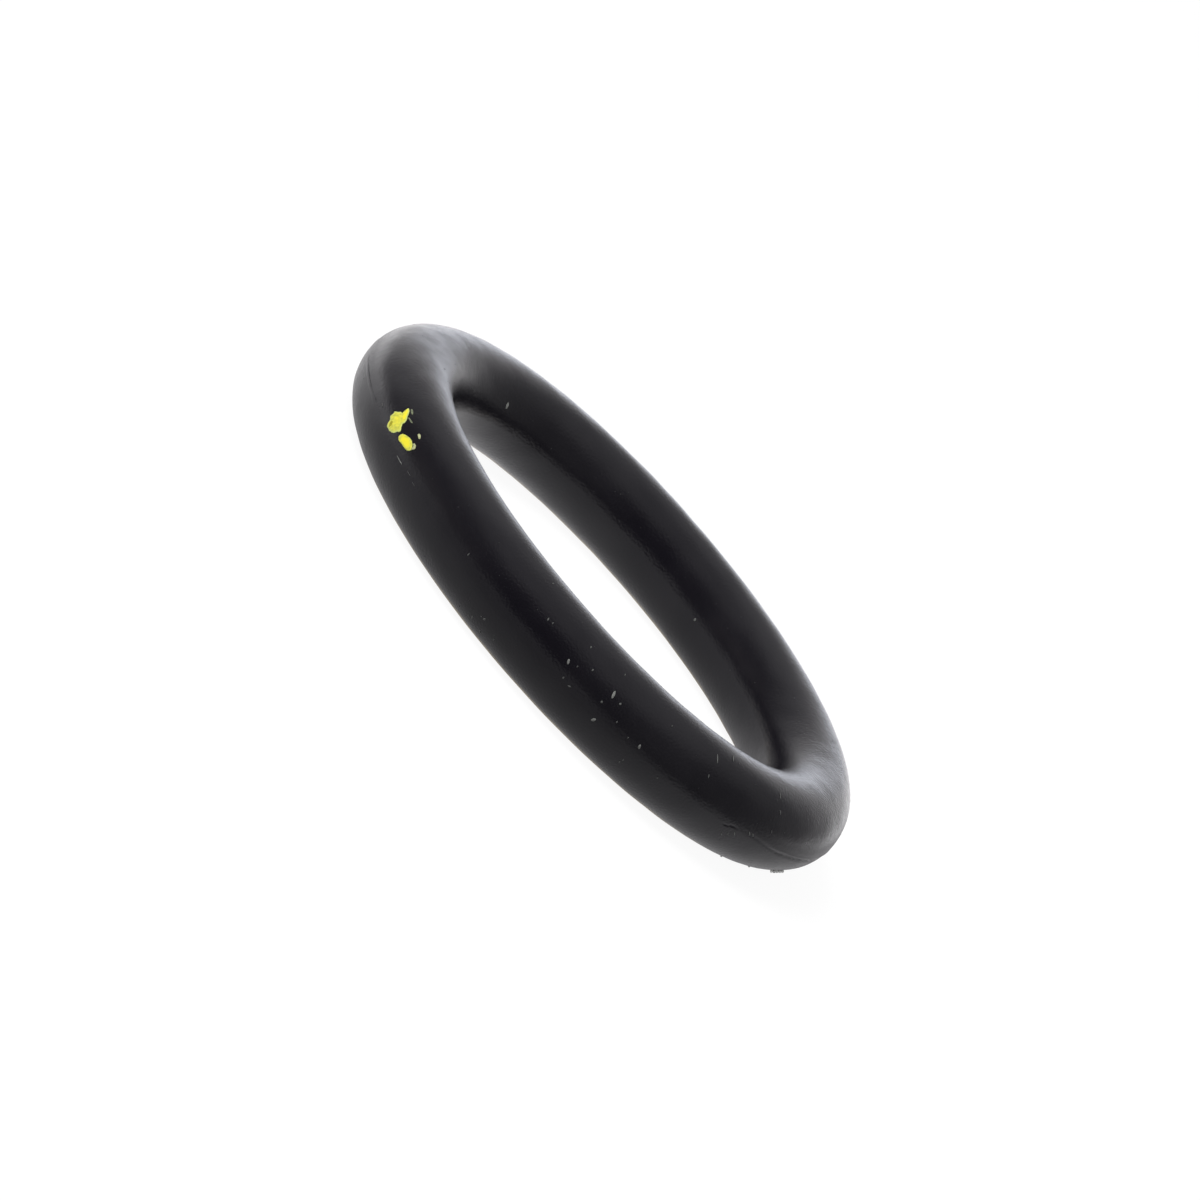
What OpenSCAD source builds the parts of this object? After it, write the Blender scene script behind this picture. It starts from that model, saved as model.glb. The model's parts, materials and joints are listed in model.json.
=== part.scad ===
// Moulded rubber sealing ring of round section, with the trimmed flash of its mould
// on the inside and outside diameters, and a dabbed paint mark on its skin.
// The ring lies flat: its axis is Z, and the origin is its centre, on the plane
// where the two halves of the mould met.

/* [Ring] */
// Inside diameter of the ring, measured on the round section
bore_d = 17.04; // [6:0.01:120]
// Diameter of the round section, which is the thickness of the ring lying flat
cord_d = 3.53; // [1.6:0.01:8]

/* [Mould flash] */
// How far the trimmed flash stands out of the round section
flash_h = 0.03; // [0.01:0.005:0.08]
// Width of the trimmed land on top of the flash
flash_land_w = 0.08; // [0.04:0.01:0.2]
// Width that each flank of the flash adds at its foot
flash_flank_w = 0.03; // [0.01:0.005:0.08]

/* [Paint mark] */
// Thickness of the dried paint
paint_t = 0.05; // [0.03:0.005:0.1]
// Length of the whole mark along the ring
mark_w = 2.1; // [1:0.05:4]
// Place of the mark's middle round the ring, in degrees from the +X side
mark_angle = 222; // [0:1:359]
// Place of the mark's middle round the section, in degrees above the outer edge
mark_lift = 18; // [10:1:60]

/* [Hidden] */
$fn = 128;

cord_r = cord_d / 2;
ring_r = bore_d / 2 + cord_r;

// Foot of the flash, which reaches into the round section so that the two join
flash_foot_w = flash_land_w + 2 * flash_flank_w;
flash_root = 0.2 * cord_d;

// Spots that make up each dab: [along the ring, up the section, diameter], as
// parts of the mark's length, from its middle
LARGE_DAB = [
    [-0.22, 0.00, 0.37],
    [-0.34, 0.03, 0.27],
    [-0.06, -0.06, 0.17],
    [-0.23, -0.13, 0.17],
    [-0.20, 0.12, 0.14],
    [-0.37, 0.17, 0.12],
];
SMALL_DAB = [
    [0.17, -0.06, 0.14],
    [0.29, -0.04, 0.19],
    [0.41, -0.03, 0.17],
    [0.48, -0.01, 0.10],
];
FLECK = [
    [0.30, 0.205, 0.05],
    [0.33, 0.210, 0.04],
];
DABS = [LARGE_DAB, SMALL_DAB, FLECK];

// Flash on the outer side of the section, from its root out to the trimmed land
module flash_profile() {
    polygon([
        [cord_r - flash_root, -flash_foot_w / 2],
        [cord_r, -flash_foot_w / 2],
        [cord_r + flash_h, -flash_land_w / 2],
        [cord_r + flash_h, flash_land_w / 2],
        [cord_r, flash_foot_w / 2],
        [cord_r - flash_root, flash_foot_w / 2],
    ]);
}

// Round section with flash on its outer and inner sides, about its own centre
module section() {
    circle(r = cord_r);
    for (side = [0, 180]) rotate(side) flash_profile();
}

module o_ring() {
    color([0.07, 0.07, 0.08])
        rotate_extrude() translate([ring_r, 0]) section();
}

// Paint all over the skin of the ring, from which the dabs are cut
module paint_coat() {
    rotate_extrude() translate([ring_r, 0]) difference() {
        circle(r = cord_r + paint_t);
        section();
    }
}

// Turns a shape drawn in X and Y to face out of the skin at the mark, where X runs
// along the ring and Y up the section, with the origin at the section's centre
module at_mark() {
    rotate([0, 0, mark_angle]) translate([ring_r, 0, 0])
        rotate([0, -mark_lift, 0]) rotate([90, 0, 90]) children();
}

// Outline of one dab, drawn with its spots
module dab_outline(spots) {
    for (spot = spots)
        translate([spot.x, spot.y] * mark_w) circle(d = spot.z * mark_w);
}

module colour_mark() {
    color([0.90, 0.86, 0.16])
        for (spots = DABS) intersection() {
            paint_coat();
            at_mark() linear_extrude(cord_d) dab_outline(spots);
        }
}

o_ring();
colour_mark();
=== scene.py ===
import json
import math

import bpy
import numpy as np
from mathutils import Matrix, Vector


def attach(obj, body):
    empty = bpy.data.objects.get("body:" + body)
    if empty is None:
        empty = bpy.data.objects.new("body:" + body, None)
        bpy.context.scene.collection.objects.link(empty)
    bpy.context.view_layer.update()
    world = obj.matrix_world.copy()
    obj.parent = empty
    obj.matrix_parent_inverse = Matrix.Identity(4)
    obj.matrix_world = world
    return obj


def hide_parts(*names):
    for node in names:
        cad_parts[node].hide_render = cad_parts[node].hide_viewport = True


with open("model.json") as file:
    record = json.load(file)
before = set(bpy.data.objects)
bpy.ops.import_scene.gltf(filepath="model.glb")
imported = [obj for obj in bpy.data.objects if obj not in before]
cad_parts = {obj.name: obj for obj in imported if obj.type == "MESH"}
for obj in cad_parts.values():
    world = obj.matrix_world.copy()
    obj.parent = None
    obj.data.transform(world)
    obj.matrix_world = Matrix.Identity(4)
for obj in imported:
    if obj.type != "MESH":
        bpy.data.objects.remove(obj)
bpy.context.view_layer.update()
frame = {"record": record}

# Looks of a black rubber sealing ring that lies flat on a pale floor. Sizes are in
# millimetres until a mesh is made. Two angles name a place on the ring: round the
# ring, from its right-hand end as the camera sees it, towards its far side, and
# round the section, from its outer edge up over the top. Both are in degrees in
# the tables and in radians in the functions.

# Sizes of the ring, from the frame. The height and the flank of the flash are those
# of the solid.
MM = 0.001
MOUNTS = {mount["name"]: mount["dims"] for mount in frame["record"]["mounts"]}
FLASH_H = 0.03
FLASH_LAND = MOUNTS["bore"]["length_mm"]
FLASH_FLANK = 0.03
LAND_OUT = MOUNTS["outside"]["r_mm"]
LAND_IN = MOUNTS["bore"]["r_mm"]
RING_R = (LAND_OUT + LAND_IN) / 2
CORD_R = (LAND_OUT - LAND_IN) / 2 - FLASH_H

# Camera, fitted to the ring's outlines in the photograph: degrees above the ring's
# plane, degrees of roll, and distances and lens in millimetres
CAMERA_RISE = 14.12
CAMERA_ROLL = 48.73
CAMERA_AWAY = 313.6
RING_RIGHT_OF_AXIS = 0.120
RING_ABOVE_AXIS = 0.173
LENS = 265.9
SENSOR = 36

# Parting line of the mould. The trimmed flash keeps a trace all round and stands
# proud at some places, each a middle and a reach round the ring.
FLASH_TRACE = 0.06
FLASH_PROUD = {"outside": [(198, 13), (70, 40), (130, 30)], "bore": [(270, 30)]}
FLASH_DRIFT = 0.012

# Groove where the flash tore away: its middle and reach round the ring, depth, half
# width, the lip that stands up above it, how far it wanders, and the two places
# where its line leaves the edge, each a middle, a reach and a way up
GROOVE = (352, 16)
GROOVE_DEPTH = 0.085
GROOVE_HALF = 0.06
GROOVE_LIP = 0.014
GROOVE_WANDER = 0.01
GROOVE_RISE = (321, 7, 0.16)
GROOVE_SAG = (349, 16, -0.11)

# Nick beside the parting line: middle, length, half width, depth, lean, bend
NICK = (317.2, 0.5)
NICK_LENGTH = 0.66
NICK_HALF = 0.04
NICK_DEPTH = 0.024
NICK_LEAN = 6
NICK_BEND = 0.045

# Slow unevenness of the moulded skin: how many waves, the most turns that one makes
# round the ring and round the section, and the height of the longest. The way round
# the ring is so many times the way round the section, and a wave is half as high
# when it makes so many turns round the section.
WAVES = 26
WAVES_ROUND_RING = 46
WAVES_ROUND_SECTION = 11
WAVE_HEIGHT = 0.002
LONGER_WAY = 6.8
HALF_HEIGHT_TURNS = 4

# Paint mark: its film, how far the film's root goes below the skin, the place of its
# middle, and its dabs as outlines along and up the skin
PAINT_T = 0.03
PAINT_ROOT = 0.006
MARK_PLACE = (222, 18)
LARGE_DAB = [
    (-1.00, 0.00), (-0.89, 0.09), (-0.84, 0.18), (-0.74, 0.22), (-0.77, 0.29), (-0.83, 0.38),
    (-0.88, 0.47), (-0.79, 0.49), (-0.63, 0.44), (-0.48, 0.34), (-0.32, 0.27), (-0.21, 0.16),
    (-0.20, 0.07), (-0.08, -0.01), (0.04, -0.07), (0.08, -0.15), (0.01, -0.22), (-0.02, -0.32),
    (-0.11, -0.40), (-0.27, -0.45), (-0.44, -0.47), (-0.57, -0.45), (-0.65, -0.38),
    (-0.70, -0.31), (-0.78, -0.25), (-0.88, -0.21), (-0.92, -0.12), (-0.95, -0.04),
]
SPUR = [
    (-0.85, 0.44), (-0.79, 0.46), (-0.64, 0.41), (-0.49, 0.31), (-0.33, 0.23),
    (-0.28, 0.13), (-0.43, 0.11), (-0.60, 0.20), (-0.74, 0.33),
]
SMALL_DAB = [
    (0.34, -0.28), (0.25, -0.23), (0.23, -0.13), (0.28, -0.05), (0.39, 0.01), (0.55, 0.07),
    (0.73, 0.10), (0.91, 0.07), (1.05, 0.01), (1.12, -0.06), (1.10, -0.16), (1.00, -0.22),
    (0.81, -0.25), (0.60, -0.27), (0.44, -0.30),
]
PALE_FLECK = [
    (0.60, 0.38), (0.58, 0.43), (0.65, 0.46), (0.77, 0.43), (0.84, 0.37), (0.78, 0.34),
    (0.68, 0.36),
]
PALE_TIP = [
    (0.93, 0.09), (0.93, 0.14), (1.05, 0.15), (1.15, 0.09), (1.17, 0.02), (1.13, -0.04),
    (1.07, 0.03), (1.00, 0.08),
]
WORN_BIT = [
    (-0.77, 0.53), (-0.79, 0.58), (-0.68, 0.59), (-0.52, 0.55), (-0.51, 0.50), (-0.63, 0.50),
]
WORN_STREAK = [
    (-0.39, 0.34), (-0.36, 0.37), (-0.22, 0.40), (-0.05, 0.40), (-0.09, 0.36), (-0.23, 0.34),
]
BROWN_STAIN = [
    (-0.41, -0.39), (-0.55, -0.32), (-0.60, -0.23), (-0.52, -0.20), (-0.43, -0.26),
    (-0.40, -0.34),
]

# Smooth bare patch of the skin round the mark: middle, reach along the ring, and how
# much shorter it is up the section
BARE_PATCH = (223, 27)
BARE_REACH = 0.55
BARE_SQUEEZE = 1.4

# Dust that shows: round the ring, round the section, length, width, lean
DUST = [
    (283.6, 28.5, 0.30, 0.10, 109), (274.4, 17.4, 0.20, 0.09, 124),
    (284.3, -7.4, 0.18, 0.11, 60), (293, 7, 0.17, 0.09, 115),
    (283, 13.5, 0.09, 0.08, 90), (285.5, 26.5, 0.10, 0.08, 60), (290.5, 5.5, 0.08, 0.05, 90),
    (275.8, 1, 0.10, 0.06, 100), (277.5, -0.5, 0.12, 0.06, 20), (275.3, 48.5, 0.10, 0.07, 110),
    (278.2, 31, 0.10, 0.06, 90), (283, 56.5, 0.11, 0.05, 110), (276, 21, 0.08, 0.05, 90),
    (268, 33, 0.09, 0.05, 120), (267, 32, 0.12, 0.06, 110), (262.5, 69, 0.09, 0.06, 90),
    (263.8, 82, 0.12, 0.07, 100), (250.2, 7, 0.12, 0.05, 100), (287.2, 9.5, 0.09, 0.05, 100),
    (293, -23.5, 0.11, 0.05, 110), (293, -18, 0.09, 0.05, 110), (299.5, -6.5, 0.08, 0.06, 90),
    (306.8, 32, 0.14, 0.05, 110), (295.5, 50, 0.09, 0.05, 90),
    (257.5, -43, 0.14, 0.05, 105), (258.2, -40, 0.17, 0.06, 105), (260.8, -46, 0.20, 0.05, 105),
    (260, -26, 0.12, 0.08, 60), (259.3, -27, 0.08, 0.05, 60), (263.5, -35, 0.10, 0.06, 100),
    (148, 153.4, 0.25, 0.15, 102), (70.4, -178.5, 0.13, 0.09, 102),
    (317.7, -13.6, 0.18, 0.04, 145), (319.6, -4.5, 0.21, 0.045, 134), (318.6, -9, 0.20, 0.04, 144),
    (322.3, 5, 0.24, 0.045, 150), (323.2, 5.7, 0.20, 0.04, 150), (326.8, 19, 0.17, 0.035, 137),
    (327, 43, 0.18, 0.045, 114), (326.6, 62, 0.26, 0.04, 83), (307.2, 56, 0.36, 0.035, 107),
    (311.5, 71.5, 0.28, 0.035, 84), (213.8, 7.5, 0.25, 0.03, 166),
]
DUST_THICK = 0.03
# A grain of this length times width or more is as pale as dust gets
FULL_TONE_AREA = 0.022
# Finest dust: how many grains, their usual and their greatest length, and thickness
FINE_GRAINS = 520
FINE_LENGTH = 0.026
FINE_LONGEST = 0.07
FINE_THICK = 0.012
# Painted highlight on the parting line beside the mark, where it catches light, drawn as pale
# grains, and crumbs and loose bits at the lower edge, written as dust
PAINTED_GLINT_THICK = 0.01
PAINTED_GLINT = [(227.6, -1.5, 0.52, 0.035, 0), (231.2, 0.5, 0.30, 0.02, 2), (233.5, -1.0, 0.26, 0.015, -2)]
CRUMB_THICK = 0.13
CRUMBS = [
    (344.2, -43, 0.10, 0.09, 20), (345.0, -41.5, 0.14, 0.11, 60), (345.8, -40, 0.11, 0.09, 0),
    (346.6, -38.5, 0.14, 0.11, 40), (347.4, -37, 0.11, 0.09, 80),
]
LOOSE_THICK = 0.05
LOOSE_BITS = [(328.8, -61, 0.09, 0.07, 0), (337.5, -53, 0.08, 0.06, 30)]

# Light that reflections see above the floor: azimuth and height of a soft patch, the
# cosines of the angle to its middle at which it starts and is full, level, colour
NEUTRAL = (1.0, 0.99, 1.01)
COOL = (0.90, 0.96, 1.12)
FAINT_WARM = (1.08, 1.0, 0.92)
AMBER = (1.35, 1.0, 0.35)
SKY_PATCHES = [
    (95, 3, 0.962, 0.995, 0.95, COOL), (90, 0, 0.70, 0.97, 0.50, NEUTRAL),
    (76, 3, 0.985, 0.998, 0.55, NEUTRAL),
    (90, 0, 0.0, 0.9, 0.14, NEUTRAL), (90, 90, 0.6, 0.95, 0.33, NEUTRAL),
    (0, 20, 0.2, 0.9, 0.14, NEUTRAL), (180, 20, 0.2, 0.9, 0.08, NEUTRAL),
    (120, 30, 0.6, 1.0, 0.24, NEUTRAL), (200, 0, 0.8, 1.0, 0.11, FAINT_WARM),
]
# The same for the floor, as bands: direction across the band, the distances from the
# ring's middle in that direction at which it starts and is full, level, colour. A
# level below zero dims what the other bands give.
FLOOR_BANDS = [
    ((0, 1, 0), -18, -11, 0.32, NEUTRAL), ((0, 1, 0), -14, -8, 0.16, NEUTRAL),
    ((0, 1, 0), 8, 30, 0.60, NEUTRAL), ((0, -1, 0), 5, 25, 0.34, NEUTRAL),
    ((-0.7, 0.7, 0), 3, 11, 0.36, NEUTRAL), ((1, 0, 0), 14, 40, -0.34, NEUTRAL),
    ((-0.35, 0.94, 0), 11, 20, 0.25, NEUTRAL),
]
# Warm glow on the floor along the line on which the ring rests: reach and level
GLOW_REACH = 0.75
GLOW_LEVEL = 0.5
# What the camera sees of the floor: its own white, and the share that takes shadow
FLOOR_WHITE = 0.925
FLOOR_SHEET = 0.12
FLOOR_HALF = 3000
FLOOR_BELOW = 0.004
# Lamps: name, place, side of the square, level
LAMPS = [
    ("soft_key", (-260, -170, 300), 260, 0.92), ("soft_fill", (260, -230, 200), 260, 0.3),
]


def hump(u, middle, reach):
    """Smooth rise to one at an angle round the ring: exp(-(distance / reach)^2)."""
    away = np.angle(np.exp(1j * (u - math.radians(middle))))
    return np.exp(-(away / math.radians(reach)) ** 2)


def ripple(angle, seed, slowest, fastest, terms=9):
    """Sum of seeded sines whose counts of waves per turn run from slowest to fastest,
    each of the same height, scaled so that the whole stays mostly between -1 and 1."""
    rng = np.random.default_rng(seed)
    counts = np.unique(np.geomspace(slowest, fastest, terms).round())
    phases = rng.uniform(0, 2 * math.pi, len(counts))
    waves = np.sin(np.multiply.outer(angle, counts) + phases)
    return waves.sum(axis=-1) / math.sqrt(2 * len(counts))


def skin(u, v, lift):
    """Point at angle u round the ring and v round the section: the section's middle
    runs on a circle of RING_R, and the point lies CORD_R plus lift away from it."""
    away = CORD_R + lift
    reach = RING_R + away * np.cos(v)
    return np.stack([reach * np.cos(u), reach * np.sin(u), away * np.sin(v)], axis=-1)


def on_skin(place, along, up, lift):
    """Points of a patch of skin round a place, from lengths along the ring, up the
    section and out of the skin: each length along the skin becomes an angle."""
    u_middle, v_middle = np.radians(place)
    reach = RING_R + CORD_R * math.cos(v_middle)
    return skin(u_middle + along / reach, v_middle + up / CORD_R, lift)


def from_place(u, v, place):
    """Lengths along the ring and up the section from a place to each point: on_skin
    the other way round."""
    u_middle, v_middle = np.radians(place)
    reach = RING_R + CORD_R * math.cos(v_middle)
    along = np.angle(np.exp(1j * (u - u_middle))) * reach
    return along, np.angle(np.exp(1j * (v - v_middle))) * CORD_R


def closed_curve(corners, steps):
    """Smooth closed curve through the corners: between two corners it is the cubic
    whose slope at each is half the way between that corner's neighbours."""
    p1 = np.array(corners, float)
    p0, p2, p3 = (np.roll(p1, shift, axis=0) for shift in (1, -1, -2))
    t = np.linspace(0, 1, steps, endpoint=False)[:, None, None]
    slope1 = (p2 - p0) / 2
    slope2 = (p3 - p1) / 2
    curve = (
        (2 * t**3 - 3 * t**2 + 1) * p1 + (t**3 - 2 * t**2 + t) * slope1
        + (3 * t**2 - 2 * t**3) * p2 + (t**3 - t**2) * slope2
    )
    return curve.transpose(1, 0, 2).reshape(-1, 2)


def tube_faces(rows, columns):
    """Quads of a grid whose rows and columns both close on themselves."""
    i, j = (a.ravel() for a in np.indices((rows, columns)))
    i_next = (i + 1) % rows
    j_next = (j + 1) % columns
    corners = [i * columns + j, i_next * columns + j,
               i_next * columns + j_next, i * columns + j_next]
    return np.stack(corners, axis=1).tolist()


def blob_faces(rings, around, first):
    """Faces of a closed blob whose points are a top pole, rings of points from top to
    bottom, each going round anticlockwise as seen from above, and a bottom pole."""
    top = first
    bottom = first + 1 + rings * around
    k = np.arange(around)
    k_next = (k + 1) % around
    faces = [(top, top + 1 + a, top + 1 + b) for a, b in zip(k, k_next)]
    for ring in range(rings - 1):
        near = top + 1 + ring * around
        far = near + around
        faces += [(near + a, far + a, far + b, near + b) for a, b in zip(k, k_next)]
    last = bottom - around
    faces += [(last + a, bottom, last + b) for a, b in zip(k, k_next)]
    return faces


def joined(blobs):
    """Points, faces and shares of many blobs as one set."""
    points, faces, shares, first = [], [], [], 0
    for blob_points, rings, around, share in blobs:
        faces += blob_faces(rings, around, first)
        points.append(blob_points)
        shares.append(share)
        first += len(blob_points)
    return np.concatenate(points), faces, np.concatenate(shares)


def piece(name, points, faces, share, material):
    """Makes an object of the part from points in millimetres, with a share at each
    point that its material reads, and rides it on the ring."""
    mesh = bpy.data.meshes.new(name)
    mesh.from_pydata((points * MM).tolist(), [], faces)
    mesh.shade_smooth()
    shares = mesh.attributes.new("share", "FLOAT", "POINT")
    shares.data.foreach_set("value", share.astype(np.float32))
    mesh.materials.append(material)
    made = bpy.data.objects.new(name, mesh)
    bpy.context.scene.collection.objects.link(made)
    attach(made, "root")
    return made


def flash_lift(u, v):
    """How far the flash stands out of the skin: at each of the two edges of the section
    it is full over the land and falls in a straight line over the flank, and its
    height, its width and its place drift round the ring, because it was trimmed."""
    lift = np.zeros_like(u)
    for side, edge, seed in (("outside", 0, 11), ("bore", math.pi, 23)):
        humps = sum(hump(u, *place) for place in FLASH_PROUD[side])
        proud = FLASH_TRACE + (1 - FLASH_TRACE) * humps
        drift = FLASH_DRIFT * ripple(u, seed, 3, 40)
        height = FLASH_H * np.clip(0.85 + 0.25 * ripple(u, seed + 1, 5, 300, 14), 0.15, 1)
        land = FLASH_LAND / 2 * (1 + 0.3 * ripple(u, seed + 2, 8, 120))
        turn = np.angle(np.exp(1j * (v - edge)))
        off_line = np.abs(CORD_R * turn - drift)
        ridge = np.clip(1 - (off_line - land) / FLASH_FLANK, 0, 1)
        lift += np.clip(proud, 0, 1) * height * ridge
    return lift


def groove_dip(u, v):
    """Depth of the groove at the outer edge: a bell curve across a line that rises and
    sags along its way, less a low bell on its upper side where the torn edge stands up,
    both deepest in the middle of the run."""
    middle, reach, rise = GROOVE_RISE
    line = rise * hump(u, middle, reach)
    middle, reach, sag = GROOVE_SAG
    line += sag * hump(u, middle, reach) + GROOVE_WANDER * ripple(u, 31, 20, 200)
    off_line = CORD_R * np.angle(np.exp(1j * v)) - line
    run = np.clip(1.4 * hump(u, *GROOVE), 0, 1)
    lip = GROOVE_LIP * np.exp(-(off_line / GROOVE_HALF - 1.7) ** 2)
    return run * (GROOVE_DEPTH * np.exp(-(off_line / GROOVE_HALF) ** 2) - lip)


def nick_dip(u, v):
    """Depth of the nick: a bell curve across a bent line, fading at its two ends."""
    along, up = from_place(u, v, NICK)
    lean = math.radians(NICK_LEAN)
    run = along * math.cos(lean) + up * math.sin(lean)
    side = up * math.cos(lean) - along * math.sin(lean)
    side = side - NICK_BEND * np.sin(2 * math.pi * run / NICK_LENGTH)
    ends = np.exp(-(2 * run / NICK_LENGTH) ** 6)
    return NICK_DEPTH * ends * np.exp(-(side / NICK_HALF) ** 2)


def moulded_waves(u, v):
    """Slow unevenness of the moulded skin: seeded plane waves over the two angles,
    each lower the shorter it is."""
    rng = np.random.default_rng(41)
    lift = np.zeros_like(u)
    for _ in range(WAVES):
        round_ring = rng.integers(-WAVES_ROUND_RING, WAVES_ROUND_RING + 1)
        round_section = rng.integers(0, WAVES_ROUND_SECTION + 1)
        phase = rng.uniform(0, 2 * math.pi)
        turns = math.hypot(round_ring / LONGER_WAY, round_section)
        height = WAVE_HEIGHT / (1 + turns / HALF_HEIGHT_TURNS)
        lift += height * np.sin(round_ring * u + round_section * v + phase)
    return lift


def ring_skin():
    """Grid of the ring's whole skin. The angle round the section is t minus a share of
    sin(2t), so that its steps are short at the two edges, where the flash is. The
    share at each point says how bare and smooth the skin is there."""
    steps_round, steps_section, crowding = 720, 136, 0.8
    round_ring = np.arange(steps_round) * 2 * math.pi / steps_round
    t = np.arange(steps_section) * 2 * math.pi / steps_section
    round_section = t - crowding / 2 * np.sin(2 * t)
    u, v = np.meshgrid(round_ring, round_section, indexing="ij")
    lift = flash_lift(u, v) + moulded_waves(u, v) - groove_dip(u, v) - nick_dip(u, v)
    along, up = from_place(u, v, BARE_PATCH)
    bare = np.exp(-((along**2 + (BARE_SQUEEZE * up) ** 2) / BARE_REACH**2) ** 2)
    points = skin(u, v, lift)
    return points.reshape(-1, 3), tube_faces(steps_round, steps_section), bare.ravel()


def dab(corners, seed, thick=PAINT_T, base=0.0, thinness=0.0):
    """Film of paint: rings run from the middle out to the outline and back below the
    skin. Its height falls to nothing at the edge by a root, with a slow ripple. The
    share at each point runs from the film's thinness in the middle to one at the edge."""
    x, y = np.array(corners).T
    if (x * np.roll(y, -1) - np.roll(x, -1) * y).sum() < 0:
        corners = corners[::-1]
    steps, shares = 8, np.array([0.2, 0.4, 0.6, 0.75, 0.86, 0.93, 0.97, 0.99, 1.0])
    outline = closed_curve(corners, steps)
    around = len(outline)
    angle = np.arange(around) * 2 * math.pi / around
    middle = outline.mean(axis=0)
    ragged = 1 + 0.02 * ripple(angle, seed, 6, 60, 12)
    spokes = (outline - middle) * ragged[:, None]
    flat = middle + shares[:, None, None] * spokes
    uneven = 1 + 0.12 * np.sin(17 * flat[..., 0] + seed) * np.sin(19 * flat[..., 1] + seed)
    height = base + thick * np.sqrt(1 - shares[:, None] ** 8) * uneven
    under = middle + shares[::-2, None, None] * spokes
    sunk = np.full(under.shape[:2], base - PAINT_ROOT)
    lengths = np.concatenate([
        [middle], flat.reshape(-1, 2), under[1:].reshape(-1, 2), [middle],
    ])
    lifts = np.concatenate([
        [base + thick], height.ravel(), sunk[1:].ravel(), [base - PAINT_ROOT],
    ])
    rings = len(flat) + len(under) - 1
    below = np.ones(len(lengths) - 1 - flat[..., 0].size)
    edge = np.concatenate([[0], np.repeat(shares, around), below])
    share = thinness + (1 - thinness) * edge
    return on_skin(MARK_PLACE, lengths[:, 0], lengths[:, 1], lifts), rings, around, share


def grain(place, length, width, lean, thick, around=10, rings=5):
    """Grain that lies on the skin: a flat ellipsoid of that length and width, turned
    by its lean from the ring's run towards up. The share at its points says how big,
    and so how pale, it is."""
    tilt = np.linspace(0, math.pi, rings + 2)[1:-1, None]
    angle = np.arange(around) * 2 * math.pi / around
    run = length / 2 * np.sin(tilt) * np.cos(angle)
    side = width / 2 * np.sin(tilt) * np.sin(angle)
    lift = (thick / 2 * np.cos(tilt) + thick / 4) * np.ones(around)
    turn = math.radians(lean)
    along = run * math.cos(turn) - side * math.sin(turn)
    up = run * math.sin(turn) + side * math.cos(turn)
    along, up = (np.concatenate([[0], a.ravel(), [0]]) for a in (along, up))
    lift = np.concatenate([[thick * 0.75], lift.ravel(), [-thick * 0.25]])
    tone = min(length * width / FULL_TONE_AREA, 1)
    return on_skin(place, along, up, lift), rings, around, np.full(len(lift), tone)


def placed_grains(table, thick):
    """Grains of a table of places, lengths, widths and leans."""
    return [grain((u, v), length, width, lean, thick) for u, v, length, width, lean in table]


def fine_grains():
    """Seeded grains, most of them hardly wider than the skin's own grain, anywhere on
    the ring but its underside."""
    rng = np.random.default_rng(7)
    grains = []
    for _ in range(FINE_GRAINS):
        place = (rng.uniform(0, 360), rng.uniform(-50, 190))
        length = min(FINE_LENGTH * math.exp(rng.normal(0, 0.35)), FINE_LONGEST)
        width = length * rng.uniform(0.5, 0.9)
        grains.append(grain(place, length, width, rng.uniform(60, 140), FINE_THICK, 6, 2))
    return grains


def new_material(name):
    """Material with a Principled shader, and its node tree and shader."""
    material = bpy.data.materials.new(name)
    material.use_nodes = True
    tree = material.node_tree
    return material, tree, tree.nodes["Principled BSDF"]


def noise(tree, size_mm, detail=2.0):
    """Noise on the object's own coordinates, with grains that many millimetres across."""
    place = tree.nodes.new("ShaderNodeTexCoord")
    texture = tree.nodes.new("ShaderNodeTexNoise")
    texture.inputs["Scale"].default_value = 1 / (size_mm * MM)
    texture.inputs["Detail"].default_value = detail
    tree.links.new(place.outputs["Object"], texture.inputs["Vector"])
    return texture.outputs["Fac"]


def ramped(tree, value, starts, full, low, high, smooth=False):
    """Value that runs from low, where the input is starts, to high, where it is full."""
    ramp = tree.nodes.new("ShaderNodeMapRange")
    ramp.interpolation_type = "SMOOTHSTEP" if smooth else "LINEAR"
    ramp.inputs["From Min"].default_value = starts
    ramp.inputs["From Max"].default_value = full
    ramp.inputs["To Min"].default_value = low
    ramp.inputs["To Max"].default_value = high
    tree.links.new(value, ramp.inputs["Value"])
    return ramp.outputs["Result"]


def spread(tree, value, low, high):
    """Value stretched so that the noise's usual span runs from low to high."""
    return ramped(tree, value, 0.3, 0.7, low, high)


def own_share(tree):
    """The share that the piece's points carry."""
    attribute = tree.nodes.new("ShaderNodeAttribute")
    attribute.attribute_name = "share"
    return attribute.outputs["Fac"]


def mixed(tree, share, first, second):
    """Colour between two by a share, each a colour or an output."""
    mix = tree.nodes.new("ShaderNodeMix")
    mix.data_type = "RGBA"
    tree.links.new(share, mix.inputs["Factor"])
    for socket, colour in (("A", first), ("B", second)):
        inputs = [i for i in mix.inputs if i.name == socket and i.type == "RGBA"]
        if isinstance(colour, tuple):
            inputs[0].default_value = (*colour, 1)
        else:
            tree.links.new(colour, inputs[0])
    return [o for o in mix.outputs if o.type == "RGBA"][0]


def blended(tree, share, first, second):
    """Number between two by a share, each a number or an output."""
    mix = tree.nodes.new("ShaderNodeMix")
    tree.links.new(share, mix.inputs["Factor"])
    for socket, number in (("A", first), ("B", second)):
        inputs = [i for i in mix.inputs if i.name == socket and i.type == "VALUE"]
        if isinstance(number, float):
            inputs[0].default_value = number
        else:
            tree.links.new(number, inputs[0])
    return [o for o in mix.outputs if o.type == "VALUE"][0]


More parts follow.
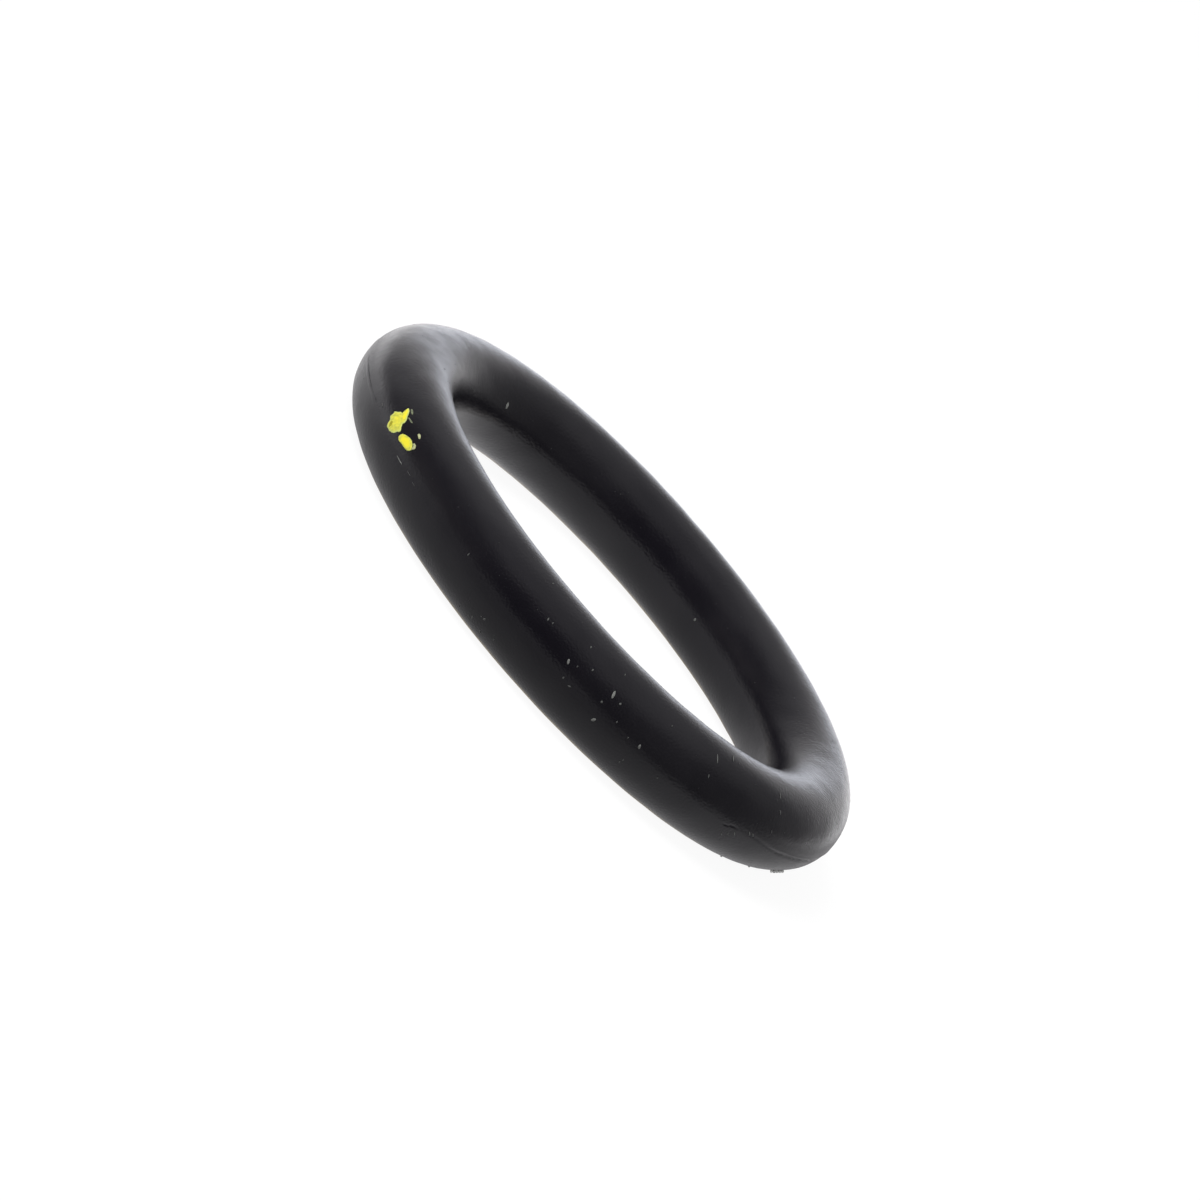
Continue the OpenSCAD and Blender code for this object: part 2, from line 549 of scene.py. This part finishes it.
def bumped(tree, shader, heights):
    """Bump from pairs of a height output and its depth in millimetres, one on another."""
    normal = None
    for height, depth_mm in heights:
        bump = tree.nodes.new("ShaderNodeBump")
        bump.inputs["Distance"].default_value = depth_mm * MM
        tree.links.new(height, bump.inputs["Height"])
        if normal is not None:
            tree.links.new(normal, bump.inputs["Normal"])
        normal = bump.outputs["Normal"]
    tree.links.new(normal, shader.inputs["Normal"])


def black_rubber():
    """Matt moulded rubber: nearly black with a trace of violet, cloudy, with a fine
    grain that is missing where the skin is bare."""
    material, tree, shader = new_material("black_rubber")
    cloud = spread(tree, noise(tree, 1.6), 0, 1)
    colour = mixed(tree, cloud, (0.0068, 0.0060, 0.0088), (0.0098, 0.0088, 0.0118))
    tree.links.new(colour, shader.inputs["Base Color"])
    bare = own_share(tree)
    matt = spread(tree, noise(tree, 0.5), 0.20, 0.25)
    tree.links.new(blended(tree, bare, matt, 0.18), shader.inputs["Roughness"])
    fine = blended(tree, bare, noise(tree, 0.09, 3), 0.5)
    bumped(tree, shader, [(fine, 0.014), (noise(tree, 0.3), 0.003)])
    return material


def yellow_paint():
    """Dried paint: strong lemon yellow where it is thick, mottled with olive where it
    is thinner, and a pale green at its edge."""
    material, tree, shader = new_material("yellow_paint")
    thin = own_share(tree)
    cloud = spread(tree, noise(tree, 0.10, 3), 0, 1)
    worn = mixed(tree, cloud, (0.52, 0.54, 0.08), (0.92, 0.86, 0.08))
    wear = ramped(tree, thin, 0.6, 0.88, 0, 1, smooth=True)
    body = mixed(tree, wear, (0.96, 0.84, 0.035), worn)
    edge = ramped(tree, thin, 0.93, 1.0, 0, 1, smooth=True)
    tree.links.new(mixed(tree, edge, body, (0.64, 0.72, 0.22)), shader.inputs["Base Color"])
    shader.inputs["Roughness"].default_value = 0.55
    bumped(tree, shader, [(noise(tree, 0.08, 3), 0.008)])
    return material


def toned_dust_and_glint():
    """Dry dust, the paler the more a grain's own share says. Its pale grains along the parting line
    beside the mark are a painted highlight.
    """
    material, tree, shader = new_material("pale_dust_and_painted_glint")
    slow, fast = (spread(tree, noise(tree, size_mm), 0, 1) for size_mm in (0.2, 0.05))
    small = mixed(tree, slow, (0.03, 0.031, 0.033), (0.085, 0.086, 0.086))
    big = mixed(tree, fast, (0.16, 0.165, 0.155), (0.28, 0.285, 0.27))
    tree.links.new(mixed(tree, own_share(tree), small, big), shader.inputs["Base Color"])
    shader.inputs["Roughness"].default_value = 0.9
    return material


def mottled(name, dark, pale, size_mm, roughness):
    """Dry finish that wanders between two colours."""
    material, tree, shader = new_material(name)
    colour = mixed(tree, spread(tree, noise(tree, size_mm), 0, 1), dark, pale)
    tree.links.new(colour, shader.inputs["Base Color"])
    shader.inputs["Roughness"].default_value = roughness
    return material


def measured(tree, operation, vector, other=(0, 0, 0)):
    """Number that a vector operation makes of a vector and a fixed one."""
    measure = tree.nodes.new("ShaderNodeVectorMath")
    measure.operation = operation
    measure.inputs[1].default_value = other
    tree.links.new(vector, measure.inputs[0])
    return measure.outputs["Value"]


def added_light(tree, total, amount, colour):
    """Total light with one more coloured light on top, by its amount."""
    add = tree.nodes.new("ShaderNodeVectorMath")
    add.operation = "MULTIPLY_ADD"
    add.inputs[0].default_value = colour
    tree.links.new(amount, add.inputs[1])
    if total is not None:
        tree.links.new(total, add.inputs[2])
    return add.outputs["Vector"]


def studio_light():
    """World: white to the camera. Reflections see a bright backdrop beyond the ring, a
    dim ceiling and walls, and a dark room on the camera's side."""
    world = bpy.data.worlds.new("studio")
    bpy.context.scene.world = world
    world.use_nodes = True
    tree = world.node_tree
    place = tree.nodes.new("ShaderNodeTexCoord").outputs["Generated"]
    total = None
    for azimuth, height, starts, full, level, colour in SKY_PATCHES:
        turn, rise = math.radians(azimuth), math.radians(height)
        flat = math.cos(rise)
        middle = (flat * math.cos(turn), flat * math.sin(turn), math.sin(rise))
        nearness = measured(tree, "DOT_PRODUCT", place, middle)
        amount = ramped(tree, nearness, starts, full, 0, level, smooth=True)
        total = added_light(tree, total, amount, colour)
    seen = tree.nodes.new("ShaderNodeLightPath")
    light = mixed(tree, seen.outputs["Is Camera Ray"], total, (1.0, 1.0, 1.0))
    tree.links.new(light, tree.nodes["Background"].inputs["Color"])


def lamp(name, at_mm, size_mm, level):
    """Square soft lamp that points at the ring and shows in no reflection. Level is how
    bright it alone makes a white sheet that faces it at the ring."""
    data = bpy.data.lights.new(name, "AREA")
    data.size = size_mm * MM
    away = Vector(at_mm) * MM
    data.energy = level * math.pi**2 * away.length_squared
    made = bpy.data.objects.new(name, data)
    bpy.context.scene.collection.objects.link(made)
    made.location = away
    made.rotation_mode = "QUATERNION"
    made.rotation_quaternion = (-away).to_track_quat("-Z", "Y")
    made.visible_glossy = False
    made.visible_camera = False


def pale_floor():
    """Floor under the ring: white to the camera, with a thin diffuse share that takes
    the ring's shadow. To all else it is a sheet that is bright beyond the ring and
    dim in front of it."""
    corners = FLOOR_HALF * np.array([(-1, -1), (1, -1), (1, 1), (-1, 1)])
    points = np.column_stack([corners, np.full(4, -CORD_R - FLOOR_BELOW)])
    mesh = bpy.data.meshes.new("pale_floor")
    mesh.from_pydata((points * MM).tolist(), [], [(0, 1, 2, 3)])
    material = bpy.data.materials.new("pale_floor")
    material.use_nodes = True
    tree = material.node_tree
    tree.nodes.remove(tree.nodes["Principled BSDF"])
    place = tree.nodes.new("ShaderNodeTexCoord").outputs["Object"]
    total = None
    for across, starts, full, level, colour in FLOOR_BANDS:
        distance = measured(tree, "DOT_PRODUCT", place, across)
        amount = ramped(tree, distance, starts * MM, full * MM, 0, level, smooth=True)
        total = added_light(tree, total, amount, colour)
    rest_line = math.hypot(RING_R, CORD_R + FLOOR_BELOW)
    radius = measured(tree, "LENGTH", place)
    for reach in (-GLOW_REACH, GLOW_REACH):
        starts, full = (rest_line + reach) * MM, rest_line * MM
        side = GLOW_LEVEL / 2
        amount = ramped(tree, radius, starts, full, -side, side, smooth=True)
        total = added_light(tree, total, amount, AMBER)
    dim = tree.nodes.new("ShaderNodeEmission")
    tree.links.new(total, dim.inputs["Color"])
    white = tree.nodes.new("ShaderNodeEmission")
    white.inputs["Color"].default_value = (1.0, 1.0, 1.0, 1)
    white.inputs["Strength"].default_value = FLOOR_WHITE
    sheet = tree.nodes.new("ShaderNodeBsdfDiffuse")
    sheet.inputs["Color"].default_value = (FLOOR_SHEET, FLOOR_SHEET, FLOOR_SHEET, 1)
    shown = tree.nodes.new("ShaderNodeAddShader")
    tree.links.new(white.outputs["Emission"], shown.inputs[0])
    tree.links.new(sheet.outputs["BSDF"], shown.inputs[1])
    seen = tree.nodes.new("ShaderNodeLightPath")
    both = tree.nodes.new("ShaderNodeMixShader")
    tree.links.new(seen.outputs["Is Camera Ray"], both.inputs["Fac"])
    tree.links.new(dim.outputs["Emission"], both.inputs[1])
    tree.links.new(shown.outputs["Shader"], both.inputs[2])
    tree.links.new(both.outputs["Shader"], tree.nodes["Material Output"].inputs["Surface"])
    mesh.materials.append(material)
    floor = bpy.data.objects.new("pale_floor", mesh)
    bpy.context.scene.collection.objects.link(floor)


def photo_camera():
    """Camera at the photograph's viewing angle: it stands in front of the ring, that
    many degrees above the ring's plane, and is rolled about its own line of sight."""
    rise, roll = math.radians(CAMERA_RISE), math.radians(CAMERA_ROLL)
    level = Vector((1, 0, 0))
    back = Vector((0, -math.cos(rise), math.sin(rise)))
    upright = back.cross(level)
    right = math.cos(roll) * level + math.sin(roll) * upright
    up = math.cos(roll) * upright - math.sin(roll) * level
    place = CAMERA_AWAY * back - RING_RIGHT_OF_AXIS * right - RING_ABOVE_AXIS * up
    data = bpy.data.cameras.new("photo_camera")
    data.lens = LENS
    data.sensor_width = SENSOR
    data.clip_start = 1 * MM
    data.clip_end = 10000 * MM
    camera = bpy.data.objects.new("photo_camera", data)
    bpy.context.scene.collection.objects.link(camera)
    turn = Matrix((right, up, back)).transposed()
    camera.matrix_world = Matrix.Translation(place * MM) @ turn.to_4x4()
    bpy.context.scene.camera = camera


ring = piece("moulded_ring", *ring_skin(), black_rubber())
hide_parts("o_ring")

large_dab = dab(LARGE_DAB, 5, thinness=0.7)
spur = dab(SPUR, 6, PAINT_T, base=0.008)
small_dab = dab(SMALL_DAB, 8, thinness=0.3)
paint = piece("yellow_paint", *joined([large_dab, spur, small_dab]), yellow_paint())
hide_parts("colour_mark")

pale = piece(
    "pale_paint_bits",
    *joined([dab(PALE_FLECK, 9, 0.02), dab(PALE_TIP, 10)]),
    mottled("pale_paint", (0.34, 0.36, 0.20), (0.62, 0.64, 0.34), 0.05, 0.8),
)

worn = piece(
    "worn_paint", *joined([dab(WORN_BIT, 12, 0.012), dab(WORN_STREAK, 13, 0.012)]),
    mottled("worn_paint", (0.09, 0.11, 0.07), (0.27, 0.29, 0.18), 0.05, 0.8),
)

stain = piece(
    "stained_paint", *joined([dab(BROWN_STAIN, 14, 0.008, PAINT_T)]),
    mottled("stained_paint", (0.30, 0.27, 0.012), (0.48, 0.44, 0.02), 0.05, 0.6),
)

# The pale grains along the parting line beside the mark are a painted highlight, made together with
# the dust
grains = placed_grains(DUST, DUST_THICK) + placed_grains(PAINTED_GLINT, PAINTED_GLINT_THICK) + fine_grains()
piece("settled_dust_and_painted_glint", *joined(grains), toned_dust_and_glint())

bits = placed_grains(CRUMBS, CRUMB_THICK) + placed_grains(LOOSE_BITS, LOOSE_THICK)
crumbs = piece(
    "rubber_crumbs", *joined(bits),
    mottled("rubber_crumbs", (0.30, 0.30, 0.29), (0.95, 0.95, 0.93), 0.09, 0.8),
)

pale_floor()
studio_light()
for name, at_mm, size_mm, level in LAMPS:
    lamp(name, at_mm, size_mm, level)
photo_camera()
bpy.context.scene.view_settings.view_transform = "Standard"
